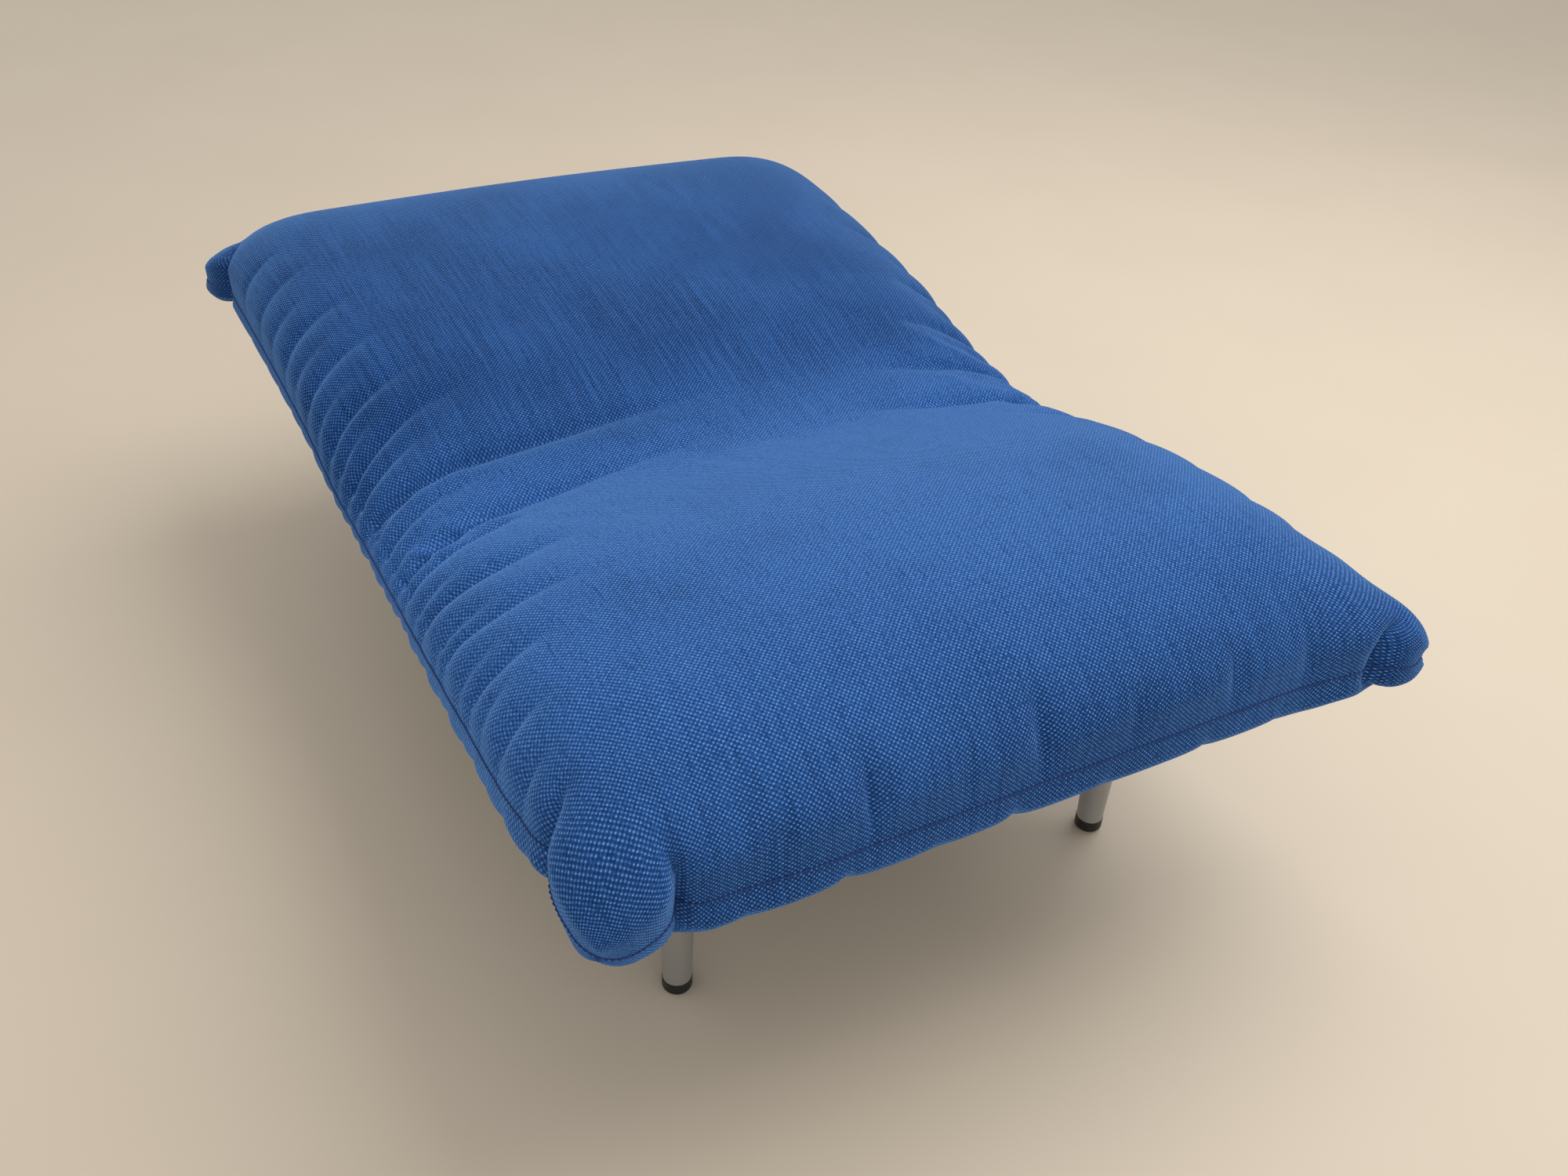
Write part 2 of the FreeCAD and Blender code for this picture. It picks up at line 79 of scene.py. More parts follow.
CAMERA_PLACE = (-0.596, -1.190, 1.040)
CAMERA_DOWN = math.radians(34.88)
CAMERA_RIGHT = math.radians(30.07)      # turned from straight along +Y
CAMERA_ROLL = math.radians(2.95)
CAMERA_LENS = 32.97
FLOOR_REACH = 30.0

# ---- quilt: measures ----

COARSE = (96, 150)                      # cells across and along each panel while the cloth settles
FINE = (200, 340)                       # the same in the finished quilt
CROWDING = (0.30, 0.35)                 # how much closer the cells lie at the ends and at the sides
FRONT_SEAM = FRONT + 0.019
FAR_SEAM = FAR - 0.008
TOP_REACH = 0.13                        # how far in from a side seam the top takes to reach its crown
END_REACH = 0.15                        # the same from the front and far seams
UNDER_REACH = 0.055                     # how far in from the seam the underside takes to come to rest
FULLNESS = 2.3                          # 2 would make the top's edge an ellipse, more is fuller
CORNER = 0.040                          # radius of the corners seen from above
WEBBING_OVER_HINGE = 0.0148             # square to the back frame
REST_GAP = 0.0015                       # between the webbing and the underside
HOLLOW_SPARE = 1.1                      # the hollow beside the hinge is this much deeper than it has to be
HOLLOW_EDGE = (0.06, 0.01)              # past the frame's side: where the hollow begins, where it is whole
EDGE_REACH = 0.03                       # the cloth faces outwards rather than up this far in from the seam
SEAM_TUCK = 0.0035                      # how deep the stitching pulls the cover in
SEAM_GROOVE = 0.0035                    # how far from the seam that shows
BAND_SWELL = 0.008                      # how far the underside bulges out below the seam
BAND_PLACE = 0.012                      # how far from the seam it bulges most
BAND_ABOVE = 0.4                        # the top bulges this much of it
BAND_TUCKS = 0.4                        # the tucks go on below the seam, this much as deep
BAND_SHIFT = (0.02, 0.012)              # and this far from those above: at the ends and at the sides
BEND_REACH = 0.17                       # the quilt bends over this much on each side of the hinge
SETTLE_FRAMES = 18
SETTLE_LIMIT = 0.013                    # no point of the cloth settles further than this
THREAD_RADIUS = 0.0009
THREAD_SIDES = 6
THREAD_RISE = 0.0010                    # how far a stitch stands out in its middle
STITCH = 0.0045
CLOTH_REPEAT = 0.0042                   # of the quilt's weave
WEBBING_REPEAT = 0.0026                 # of the webbing's weave
# Painted shade: fewer light floats make the backrest's cloth darker than the seat's
BACKREST_SHADE_FLOATS = 0.55                      # the light floats show only this much on the backrest
# Distances over the cloth from the front seam: the seat's zone of fuzz and painted light begins, is fullest, still
# is, and ends
RUBBED_AND_LIT = (-0.08, 0.28, 0.52, 0.76)

# Heights and half widths along the quilt, as (place along, value)
HALF_WIDTH = [(-0.60, 0.386), (-0.50, 0.384), (-0.30, 0.384), (-0.08, 0.380), (0.10, 0.382),
              (0.30, 0.386), (0.50, 0.392), (0.60, 0.396)]
SEAM_HEIGHT = [(-0.60, 0.291), (-0.45, 0.303), (-0.30, 0.298), (-0.08, 0.280), (0.06, 0.280),
               (0.20, 0.305), (0.40, 0.322), (0.60, 0.335)]
CROWN_HEIGHT = [(-0.60, 0.390), (-0.45, 0.398), (-0.30, 0.388), (-0.16, 0.354), (-0.08, 0.334),
                (0.0, 0.343), (0.12, 0.376), (0.25, 0.398), (0.42, 0.416), (0.60, 0.420)]

# Slack corners, full like the tip of a pillow: (side, end, how far the seam's corner is drawn out in X, Y and
# Z, how far round it that reaches, middle of the round tip, its radius, how nearly the cloth takes that round
# shape, how much of all that the underside takes away from the seam)
EARS = [(-1, -1, (0.004, -0.006, -0.022), 0.085, (-0.330, -0.527, 0.305), 0.060, 0.40, 0.0),
        (1, -1, (0.028, -0.027, 0.002), 0.090, (0.371, -0.565, 0.295), 0.041, 0.70, 0.8),
        (-1, 1, (-0.018, 0.018, -0.018), 0.080, (-0.368, 0.568, 0.316), 0.038, 0.70, 0.8),
        (1, 1, (0.018, 0.018, -0.010), 0.080, (0.368, 0.568, 0.322), 0.038, 0.60, 0.8)]
PULL_FADE = 1.35                        # the pull is gone at this many times its reach
TIP_FADE = (2.2, 1.1)                   # the round tip: gone, and whole, at this many times its radius
PULLED_IN = 0.22                        # cloth outside a round tip comes in to it only this much
PLAIN_CORNER = (0.12, 0.05)             # round the near-left corner the underside doesn't bulge

# Tucks beside the slack corners, over the seam and both panels: (start, bend, end, depth, width). A tuck is a
# sharp valley between two full folds.
CORNER_TUCKS = [((-0.298, -0.612), (-0.303, -0.590), (-0.318, -0.536), 0.032, 0.0075),
                ((-0.402, -0.497), (-0.376, -0.492), (-0.338, -0.478), 0.022, 0.009),
                ((0.328, -0.608), (0.366, -0.596), (0.390, -0.566), 0.024, 0.009),
                ((-0.412, 0.512), (-0.376, 0.540), (-0.352, 0.600), 0.022, 0.010),
                ((0.412, 0.512), (0.376, 0.540), (0.352, 0.600), 0.016, 0.010)]

# Tucks that start at the seam: (place on the seam, place where it ends, reach inwards, depth). The places are
# along Y for the left and right ones, and along X for the front and far ones.
LEFT_TUCKS = [(-0.452, -0.450, 0.045, 0.004), (-0.403, -0.408, 0.060, 0.005), (-0.368, -0.366, 0.045, 0.003),
              (-0.330, -0.345, 0.095, 0.006), (-0.305, -0.318, 0.060, 0.004), (-0.262, -0.290, 0.150, 0.006),
              (-0.238, -0.262, 0.080, 0.005), (-0.200, -0.213, 0.170, 0.008), (-0.176, -0.180, 0.070, 0.004),
              (-0.150, -0.118, 0.190, 0.007), (-0.126, -0.052, 0.420, 0.008), (-0.100, -0.070, 0.100, 0.004),
              (-0.074, -0.030, 0.150, 0.006), (-0.046, -0.006, 0.100, 0.004), (-0.017, 0.016, 0.460, 0.009),
              (0.008, 0.052, 0.130, 0.006), (0.036, 0.094, 0.170, 0.007), (0.066, 0.106, 0.090, 0.004),
              (0.100, 0.142, 0.140, 0.005), (0.134, 0.166, 0.080, 0.0025), (0.172, 0.214, 0.120, 0.0035),
              (0.216, 0.240, 0.070, 0.002), (0.255, 0.290, 0.110, 0.0025), (0.308, 0.325, 0.060, 0.0015),
              (0.356, 0.380, 0.085, 0.0015), (0.425, 0.440, 0.060, 0.0015)]
RIGHT_TUCKS = [(-0.475, -0.468, 0.050, 0.005), (-0.420, -0.412, 0.070, 0.004), (-0.350, -0.345, 0.060, 0.003),
               (-0.290, -0.270, 0.090, 0.005), (-0.235, -0.215, 0.070, 0.004), (-0.190, -0.160, 0.150, 0.007),
               (-0.150, -0.110, 0.120, 0.006), (-0.112, -0.066, 0.300, 0.009), (-0.078, -0.040, 0.110, 0.005),
               (-0.045, 0.004, 0.240, 0.008), (-0.010, 0.028, 0.100, 0.005), (0.030, 0.068, 0.150, 0.006),
               (0.076, 0.104, 0.080, 0.004), (0.120, 0.145, 0.100, 0.005), (0.185, 0.205, 0.070, 0.004),
               (0.262, 0.275, 0.090, 0.004), (0.360, 0.372, 0.070, 0.003)]
FRONT_TUCKS = [(-0.235, -0.238, 0.020, 0.004), (-0.152, -0.156, 0.045, 0.006), (-0.075, -0.073, 0.020, 0.003),
               (-0.003, -0.001, 0.050, 0.006), (0.085, 0.087, 0.022, 0.003), (0.190, 0.194, 0.030, 0.004),
               (0.270, 0.272, 0.022, 0.003)]
FAR_TUCKS = [(-0.250, -0.252, 0.035, 0.004), (-0.120, -0.122, 0.050, 0.005), (0.015, 0.012, 0.040, 0.004),
             (0.140, 0.141, 0.045, 0.005), (0.260, 0.262, 0.035, 0.004)]
TUCK_WIDTH = 0.0095                     # of the left and right tucks
END_TUCK_WIDTH = 0.009
TUCK_DEPTH = 2.4                        # these tucks are this many times deeper than listed
TUCK_SIDE = 0.384                       # half the quilt's width, from where their reach is measured
TUCK_STEPS = 12                         # straight runs that make up a tuck's curve
TUCK_FLOOR = 0.0012                     # how round the bottom of a tuck is


# ---- quilt: shape ----

def smooth(a, b, x):
    """0 where x is at a, 1 where it is at b, and level at both."""
    t = np.clip((x - a) / (b - a), 0, 1)
    return t * t * (3 - 2 * t)


def along(y, points):
    """Smooth curve through a few (place, value) points that never overshoots them."""
    place = np.array([p[0] for p in points])
    value = np.array([p[1] for p in points])
    step = np.diff(place)
    slope = np.diff(value) / step
    tangent = np.empty(len(place))
    tangent[0], tangent[-1] = slope[0], slope[-1]
    before, after = slope[:-1], slope[1:]
    same_way = before * after > 0
    total = np.where(same_way, before + after, 1.0)
    tangent[1:-1] = np.where(same_way, 2 * before * after / total, 0.0)
    y = np.clip(y, place[0], place[-1])
    i = np.clip(np.searchsorted(place, y) - 1, 0, len(place) - 2)
    t = (y - place[i]) / step[i]
    rise = value[i] * (1 + 2 * t) * (1 - t) ** 2 + value[i + 1] * t * t * (3 - 2 * t)
    return rise + step[i] * (tangent[i] * t * (1 - t) ** 2 + tangent[i + 1] * t * t * (t - 1))


def rounding(distance, reach, fullness):
    """0 at a seam and 1 from a reach inside it, round like the edge of a cushion."""
    q = np.clip(1 - distance / reach, 0, 1)
    return (1 - q ** fullness) ** (1 / fullness)


def spaced(cells, crowding):
    """Values from -1 to 1, closer together near the ends, where the cloth turns over its edge."""
    t = np.linspace(-1, 1, cells + 1)
    return (1 - crowding) * t + crowding * np.sin(t * math.pi / 2)


def underside(x, y):
    """Height of the quilt's underside, on the webbing but hollow beside the hinge.

    There a blended point follows each frame only partly, and would sink through its webbing as the back
    rises.
    """
    back = HINGE.z + (y - HINGE.y) * math.tan(BACK_SLOPE) + WEBBING_OVER_HINGE / math.cos(BACK_SLOPE)
    away = np.abs(y - HINGE.y)
    astray = 1 - smooth(-BEND_REACH, BEND_REACH, away)
    sinking = astray * (away * math.sin(RAISED) + WEBBING_OVER_HINGE * (1 - math.cos(RAISED)))
    hollow = sinking / (1 - astray * (1 - math.cos(RAISED)))
    over_frame = smooth(FRAME_SIDE + HOLLOW_EDGE[0], FRAME_SIDE + HOLLOW_EDGE[1], np.abs(x))
    return np.maximum(SEAT_TOP + REST_GAP, back) + HOLLOW_SPARE * hollow * over_frame


def drawn_out(grid, inset, beneath):
    """The four slack corners: the seam's corner is pulled out, and the cloth round it fills a round tip."""
    seamward = np.exp(-inset / BAND_PLACE)
    for side, end, pull, reach, middle, radius, roundness, fullness in EARS:
        share = fullness + (1 - fullness) * seamward if beneath else np.ones_like(inset)
        x = side * along(np.array(end * FAR), HALF_WIDTH)
        y = FRONT_SEAM if end < 0 else FAR_SEAM
        away = np.hypot(grid[..., 0] - x, grid[..., 1] - y)
        grid = grid + (share * smooth(PULL_FADE * reach, 0, away))[..., None] * np.array(pull)
        ray = grid - np.array(middle)
        length = np.maximum(np.linalg.norm(ray, axis=-1), 1e-6)
        share = share * np.where(length < radius, roundness, PULLED_IN)
        share = share * smooth(TIP_FADE[0] * radius, TIP_FADE[1] * radius, length)
        grid = grid + (share * (radius / length - 1))[..., None] * ray
    return grid


def panels(s, t):
    """The top and the under panel, as grids of points that meet at the seam, and each point's way out."""
    y = FRONT_SEAM + (FAR_SEAM - FRONT_SEAM) * (t + 1) / 2
    half = along(y, HALF_WIDTH)
    from_side = (1 - np.abs(s)) * half
    from_end = (1 - np.abs(t)) * (FAR_SEAM - FRONT_SEAM) / 2
    a = np.clip(1 - from_side / CORNER, 0, 1)
    b = np.clip(1 - from_end / CORNER, 0, 1)
    x = s * half - np.sign(s) * CORNER * a * (1 - np.sqrt(1 - b * b / 2))
    y = y - np.sign(t) * CORNER * b * (1 - np.sqrt(1 - a * a / 2))
    seam = along(y, SEAM_HEIGHT)
    swell = rounding(from_side, TOP_REACH, FULLNESS) * rounding(from_end, END_REACH, FULLNESS)
    crown = (along(y, CROWN_HEIGHT) - seam) * (1 - 0.10 * s ** 2)
    sag = rounding(from_side, UNDER_REACH, 2.0) * rounding(from_end, UNDER_REACH, 2.0)
    sideways = np.sign(s) * np.exp(-from_side / EDGE_REACH)
    endways = np.sign(t) * np.exp(-from_end / EDGE_REACH)
    way_out = np.stack([sideways, endways, np.zeros_like(s)], -1)
    way_out /= np.maximum(np.linalg.norm(way_out, axis=-1, keepdims=True), 1e-9)
    inset = np.minimum(from_side, from_end)
    bulge = BAND_SWELL * (inset / BAND_PLACE) * np.exp(1 - inset / BAND_PLACE)
    plain = smooth(*PLAIN_CORNER, np.hypot(x + SIDE, y - FRONT_SEAM))
    top = np.stack([x, y, seam + crown * swell], -1) + way_out * (BAND_ABOVE * bulge)[..., None]
    under = np.stack([x, y, seam - (seam - underside(x, y)) * sag], -1)
    under = under + way_out * (bulge * (1 - plain))[..., None]
    return drawn_out(top, inset, False), drawn_out(under, inset, True), way_out, inset


def normals(grid):
    """Unit normals on the upper side of a panel."""
    n = np.cross(np.gradient(grid, axis=1), np.gradient(grid, axis=0))
    return n / np.maximum(np.linalg.norm(n, axis=-1, keepdims=True), 1e-9)


def tuck(x, y, start, bend, end, depth, width):
    """A valley along a curve seen from above, deepest near its start and gone at its end."""
    best = np.full(x.shape, 1.0)
    place = np.zeros_like(x)
    curve = [(1 - k) ** 2 * np.array(start) + 2 * k * (1 - k) * np.array(bend) + k * k * np.array(end)
             for k in np.linspace(0, 1, TUCK_STEPS + 1)]
    for number, (p, q) in enumerate(zip(curve[:-1], curve[1:])):
        run = q - p
        k = np.clip(((x - p[0]) * run[0] + (y - p[1]) * run[1]) / run.dot(run), 0, 1)
        away = np.hypot(x - p[0] - k * run[0], y - p[1] - k * run[1])
        nearer = away < best
        best = np.where(nearer, away, best)
        place = np.where(nearer, (number + k) / TUCK_STEPS, place)
    valley = np.exp(-np.hypot(best, TUCK_FLOOR) / (width * (0.75 + 0.7 * place)))
    return -depth * valley * smooth(1.0, 0.30, place)


def side_tucks(x, y, side, tucks):
    """The tucks from the left or the right seam, each bent on its way in."""
    total = np.zeros_like(x)
    for start, end, reach, depth in tucks:
        edge = side * (SIDE + 0.01)
        inner = side * (TUCK_SIDE - reach)
        bend = (side * (TUCK_SIDE - 0.35 * reach), start + 0.8 * (end - start))
        total += tuck(x, y, (edge, start), bend, (inner, end), TUCK_DEPTH * depth, TUCK_WIDTH)
    return total


def end_tucks(x, y, edge, tucks):
    """The tucks from the front or the far seam, each nearly straight."""
    total = np.zeros_like(x)
    for start, end, reach, depth in tucks:
        outer = (start, edge)
        inner = (end, edge - math.copysign(reach + 0.02, edge))
        middle = ((start + end) / 2, edge - math.copysign(0.5 * reach + 0.01, edge))
        total += tuck(x, y, outer, middle, inner, TUCK_DEPTH * depth, END_TUCK_WIDTH)
    return total


def corner_depth(x, y):
    """How deep the tucks beside the slack corners go in, over the seam as well as the panels."""
    return -sum(tuck(x, y, *curve_and_size) for curve_and_size in CORNER_TUCKS)


def seam_tucks(x, y, shift=0.0, slip=0.0):
    """All the tucks that start at the seam, at places shifted along it."""
    total = side_tucks(x, y + slip, -1, LEFT_TUCKS) + side_tucks(x, y - slip, 1, RIGHT_TUCKS)
    return total + (end_tucks(x + shift, y, FRONT, FRONT_TUCKS) + end_tucks(x + shift, y, FAR, FAR_TUCKS))


def tucked(top, under, way_out, inset):
    """Both panels with their tucks, and the groove where the stitching draws the cover in."""
    x, y = top[..., 0], top[..., 1]
    lift = seam_tucks(x, y) * smooth(-0.001, 0.006, inset)
    top = top + normals(top) * lift[..., None]
    band = BAND_TUCKS * seam_tucks(under[..., 0], under[..., 1], *BAND_SHIFT)
    band *= smooth(-0.001, 0.008, inset) * smooth(0.060, 0.025, inset)
    under = under - normals(under) * band[..., None]
    turned = smooth(0, EDGE_REACH, inset)[..., None]
    inwards_top = -way_out * (1 - turned) - normals(top) * turned
    inwards_under = -way_out * (1 - turned) + normals(under) * turned
    top = top + inwards_top * corner_depth(x, y)[..., None]
    under = under + inwards_under * corner_depth(under[..., 0], under[..., 1])[..., None]
    groove = SEAM_TUCK * np.exp(-(inset / SEAM_GROOVE) ** 2)
    return top - way_out * groove[..., None], under - way_out * groove[..., None]


# ---- quilt: mesh ----

def corners(numbers, flip):
    """The four corners of every cell of a grid of numbers."""
    a, b, c, d = numbers[:-1, :-1], numbers[:-1, 1:], numbers[1:, 1:], numbers[1:, :-1]
    return np.stack((a, d, c, b) if flip else (a, b, c, d), -1).reshape(-1, 4)


def numbering(rows, columns):
    """Vertex numbers of the two panels, which share the ones on the seam."""
    top = np.arange(rows * columns).reshape(rows, columns)
    under = top.copy()
    inner = (slice(1, -1), slice(1, -1))
    under[inner] = rows * columns + np.arange((rows - 2) * (columns - 2)).reshape(rows - 2, columns - 2)
    return top, under


def closed_mesh(name, top, under):
    """One closed mesh of the two panels."""
    number_top, number_under = numbering(*top.shape[:2])
    points = np.concatenate([top.reshape(-1, 3), under[1:-1, 1:-1].reshape(-1, 3)])
    mesh = bpy.data.meshes.new(name)
    faces = np.concatenate([corners(number_top, False), corners(number_under, True)])
    mesh.from_pydata(points.tolist(), [], faces.tolist())
    return mesh


def new_object(name, data):
    made = bpy.data.objects.new(name, data)
    bpy.context.scene.collection.objects.link(made)
    return made


def cloth_lay(grid):
    """Distances over the flat cloth from the middle line and from the front seam, in metres."""
    rows, columns = grid.shape[:2]
    across = np.linalg.norm(np.diff(grid[rows // 2], axis=0), axis=1)
    lengthways = np.linalg.norm(np.diff(grid[:, columns // 2], axis=0), axis=1)
    u = np.concatenate([[0], np.cumsum(across)])
    v = np.concatenate([[0], np.cumsum(lengthways)])
    return np.stack(np.meshgrid(u - u[columns // 2], v), -1)


def settling_weights(top, inset, number_top, number_under):
    """How firmly each point is held while the cloth settles, and how far its cloth may ease."""
    hold = np.full(number_under.max() + 1, 0.14)
    ease = np.zeros(len(hold))
    x, y = top[..., 0], top[..., 1]
    wander = 0.5 + 0.5 * np.sin(61 * y + 2.0 * np.sin(23 * x)) * np.sin(37 * x + 1.3)
    ease[number_top.ravel()] = (smooth(0.14, 0.01, inset) * (0.35 + 0.65 * wander)).ravel()
    supported = smooth(0.045, 0.085, inset)
    hold[number_under.ravel()] = np.maximum(0.10, supported).ravel()
    ease[number_under.ravel()] = (0.5 * (1 - supported)).ravel()
    seam = inset.ravel() < 1e-6
    hold[number_top.ravel()[seam]] = 1.0
    return {"hold": hold, "ease": ease}


def set_cloth(pad):
    """Soft cloth that the filling blows up, held and eased by the pad's vertex groups."""
    cloth = pad.modifiers.new("cloth", "CLOTH")
    cloth.collision_settings.use_self_collision = False
    settings = cloth.settings
    settings.vertex_group_mass = "hold"
    settings.pin_stiffness = 1.0
    settings.quality = 6
    settings.mass = 0.25
    settings.tension_stiffness = 25
    settings.compression_stiffness = 25
    settings.shear_stiffness = 8
    settings.bending_stiffness = 0.6
    settings.use_pressure = True
    settings.uniform_pressure_force = 4.0
    settings.vertex_group_shrink = "ease"
    settings.shrink_min = 0.0
    settings.shrink_max = -0.045
    settings.effector_weights.gravity = 0.0


def settled_points(pad):
    """Where the pad's points are after the last frame. The scene goes back to its first."""
    scene = bpy.context.scene
    for number in range(1, SETTLE_FRAMES + 1):
        scene.frame_set(number)
    moved = np.empty(len(pad.data.vertices) * 3)
    mesh = pad.evaluated_get(bpy.context.evaluated_depsgraph_get()).data
    mesh.vertices.foreach_get("co", moved)
    scene.frame_set(1)
    return moved.reshape(-1, 3)


def settled(top, under, inset):
    """Blow the cover up a little inside its seams, as its filling does, and crease it where it is slack."""
    number_top, number_under = numbering(*top.shape[:2])
    mesh = closed_mesh("settling", top, under)
    pad = new_object("settling", mesh)
    for name, weights in settling_weights(top, inset, number_top, number_under).items():
        group = pad.vertex_groups.new(name=name)
        for number, weight in enumerate(weights.tolist()):
            group.add((number,), weight, "REPLACE")
    set_cloth(pad)
    moved = settled_points(pad)
    bpy.data.objects.remove(pad)
    bpy.data.meshes.remove(mesh)
    return capped(moved[number_top] - top), capped(moved[number_under] - under)


def capped(shift):
    """The same shifts, none longer than the limit."""
    length = np.linalg.norm(shift, axis=-1, keepdims=True)
    return shift * np.minimum(1, SETTLE_LIMIT / np.maximum(length, 1e-9))


def refined(field, places, finer):
    """A grid of vectors, read at more places than it was made for."""
    result = field
    for axis, (old, new) in enumerate(zip(places, finer)):
        i = np.clip(np.searchsorted(old, new, side="right") - 1, 0, len(old) - 2)
        k = (new - old[i]) / (old[i + 1] - old[i])
        k = k.reshape([-1 if n == axis else 1 for n in range(3)])
        points = [np.take(result, np.clip(i + step, 0, len(old) - 1), axis) for step in (-1, 0, 1, 2)]
        slope_0, slope_1 = (points[2] - points[0]) / 2, (points[3] - points[1]) / 2
        result = ((1 + 2 * k) * (1 - k) ** 2 * points[1] + k * (1 - k) ** 2 * slope_0
                  + k * k * (3 - 2 * k) * points[2] + k * k * (k - 1) * slope_1)
    return result


def grid_places(across, lengthways):
    return [spaced(cells, crowding) for cells, crowding in zip((lengthways, across), CROWDING)]


def quilt_grids():
    """The finished panels, and where each of their points lies on the flat cloth."""
    places = grid_places(*FINE)
    t, s = np.meshgrid(*places, indexing="ij")
    top, under, way_out, inset = panels(s, t)
    lays = cloth_lay(top), cloth_lay(under)
    coarse = grid_places(*COARSE)
    t_coarse, s_coarse = np.meshgrid(*coarse, indexing="ij")
    start_top, start_under, _, start_inset = panels(s_coarse, t_coarse)
    shift_top, shift_under = settled(start_top, start_under, start_inset)
    top = top + refined(shift_top, coarse, places)
    under = under + refined(shift_under, coarse, places)
    return *tucked(top, under, way_out, inset), lays


def seam_line(grid):
    """The seam's points in order, once round the quilt."""
    return np.concatenate([grid[0, :-1], grid[:-1, -1], grid[-1, :0:-1], grid[:0:-1, 0]])


def quilt_piece(top, under, lays):
    """The quilt's mesh, with the flat cloth as its UV map."""
    mesh = closed_mesh("quilt", top, under)
    numbers = np.arange(top[..., 0].size).reshape(top.shape[:2])
    spots = [lay.reshape(-1, 2)[corners(numbers, flip)] for lay, flip in zip(lays, (False, True))]
    uv = mesh.uv_layers.new(name="cloth")
    uv.data.foreach_set("uv", np.concatenate(spots).astype(np.float32).ravel())
    mesh.polygons.foreach_set("use_smooth", [True] * len(mesh.polygons))
    return new_object("quilt", mesh)


def thread_rings(line):
    """Rings of points round a thread that lies along a closed line and dips at every stitch."""
    closed = np.concatenate([line, line[:1]])
    step = np.linalg.norm(np.diff(closed, axis=0), axis=1)
    run = np.concatenate([[0], np.cumsum(step)])
    count = int(run[-1] / (STITCH / 3))
    places = np.linspace(0, run[-1], count, endpoint=False)
    points = np.stack([np.interp(places, run, closed[:, k]) for k in range(3)], 1)
    ahead = np.roll(points, -2, 0) - np.roll(points, 2, 0)
    ahead /= np.linalg.norm(ahead, axis=1, keepdims=True)
    outward = np.cross(ahead, (0, 0, 1.0))
    outward /= np.linalg.norm(outward, axis=1, keepdims=True)
    upward = np.cross(outward, ahead)
    dip = 0.5 + 0.5 * np.cos(2 * math.pi * places / STITCH)
    middle = points + outward * (THREAD_RISE * dip)[:, None]
    radius = (THREAD_RADIUS * (0.55 + 0.45 * dip))[:, None]
    turns = 2 * math.pi * np.arange(THREAD_SIDES) / THREAD_SIDES
    return np.stack([middle + radius * (math.cos(a) * outward + math.sin(a) * upward) for a in turns], 1)


def thread_piece(line):
    """Sewing thread in the seam's groove."""
    rings = thread_rings(line)
    count = len(rings)
    faces = []
    for i in range(count):
        here, there = i * THREAD_SIDES, (i + 1) % count * THREAD_SIDES
        for k in range(THREAD_SIDES):
            beside = (k + 1) % THREAD_SIDES
            faces.append((here + k, here + beside, there + beside, there + k))
    mesh = bpy.data.meshes.new("quilt_seam_thread")
    mesh.from_pydata(rings.reshape(-1, 3).tolist(), [], faces)
    mesh.polygons.foreach_set("use_smooth", [True] * len(mesh.polygons))
    return new_object("quilt_seam_thread", mesh)


# ---- materials ----

def new_material(name):
    """A new node material, with its node tree and its shader."""
    material = bpy.data.materials.new(name)
    material.use_nodes = True
    return material, material.node_tree, material.node_tree.nodes["Principled BSDF"]


def node(tree, kind, **values):
    n = tree.nodes.new(kind)
    for key, value in values.items():
        setattr(n, key, value)
    return n


def maths(tree, operation, a, b=None, c=None, clamp=False):
    """The result of a maths node on numbers or other nodes' results."""
    n = node(tree, "ShaderNodeMath", operation=operation, use_clamp=clamp)
    for k, value in enumerate((a, b, c)):
        if value is None:
            continue
        if isinstance(value, (int, float)):
            n.inputs[k].default_value = value
        else:
            tree.links.new(value, n.inputs[k])
    return n.outputs[0]


def ranged(tree, value, low, high, new_low=0.0, new_high=1.0):
    """The value brought smoothly from one range to another, and kept in it."""
    n = node(tree, "ShaderNodeMapRange", interpolation_type="SMOOTHSTEP")
    tree.links.new(value, n.inputs["Value"])
    for key, number in (("From Min", low), ("From Max", high), ("To Min", new_low), ("To Max", new_high)):
        n.inputs[key].default_value = number
    return n.outputs["Result"]


def mixed(tree, share, a, b):
    """Colour a where the share is 0 and b where it is 1."""
    n = node(tree, "ShaderNodeMix", data_type="RGBA")
    for key, value in ((0, share), (6, a), (7, b)):
        if isinstance(value, (tuple, float)):
            n.inputs[key].default_value = value
        else:
            tree.links.new(value, n.inputs[key])
    return n.outputs[2]


def noise(tree, vector, scale, detail=2.0, roughness=0.5):
    n = node(tree, "ShaderNodeTexNoise")
    tree.links.new(vector, n.inputs["Vector"])
    n.inputs["Scale"].default_value = scale
    n.inputs["Detail"].default_value = detail
    n.inputs["Roughness"].default_value = roughness
    return n.outputs["Fac"]


def stretched(tree, vector, x, y, z=1.0):
    n = node(tree, "ShaderNodeMapping")
    tree.links.new(vector, n.inputs["Vector"])
    n.inputs["Scale"].default_value = (x, y, z)
    return n.outputs["Vector"]


def bumped(tree, shader, height, distance, strength=0.6):
    """Relief on the surface of a shader, a distance high."""
    bump = node(tree, "ShaderNodeBump")
    bump.inputs["Strength"].default_value = strength
    bump.inputs["Distance"].default_value = distance
    tree.links.new(height, bump.inputs["Height"])
    tree.links.new(bump.outputs["Normal"], shader.inputs["Normal"])


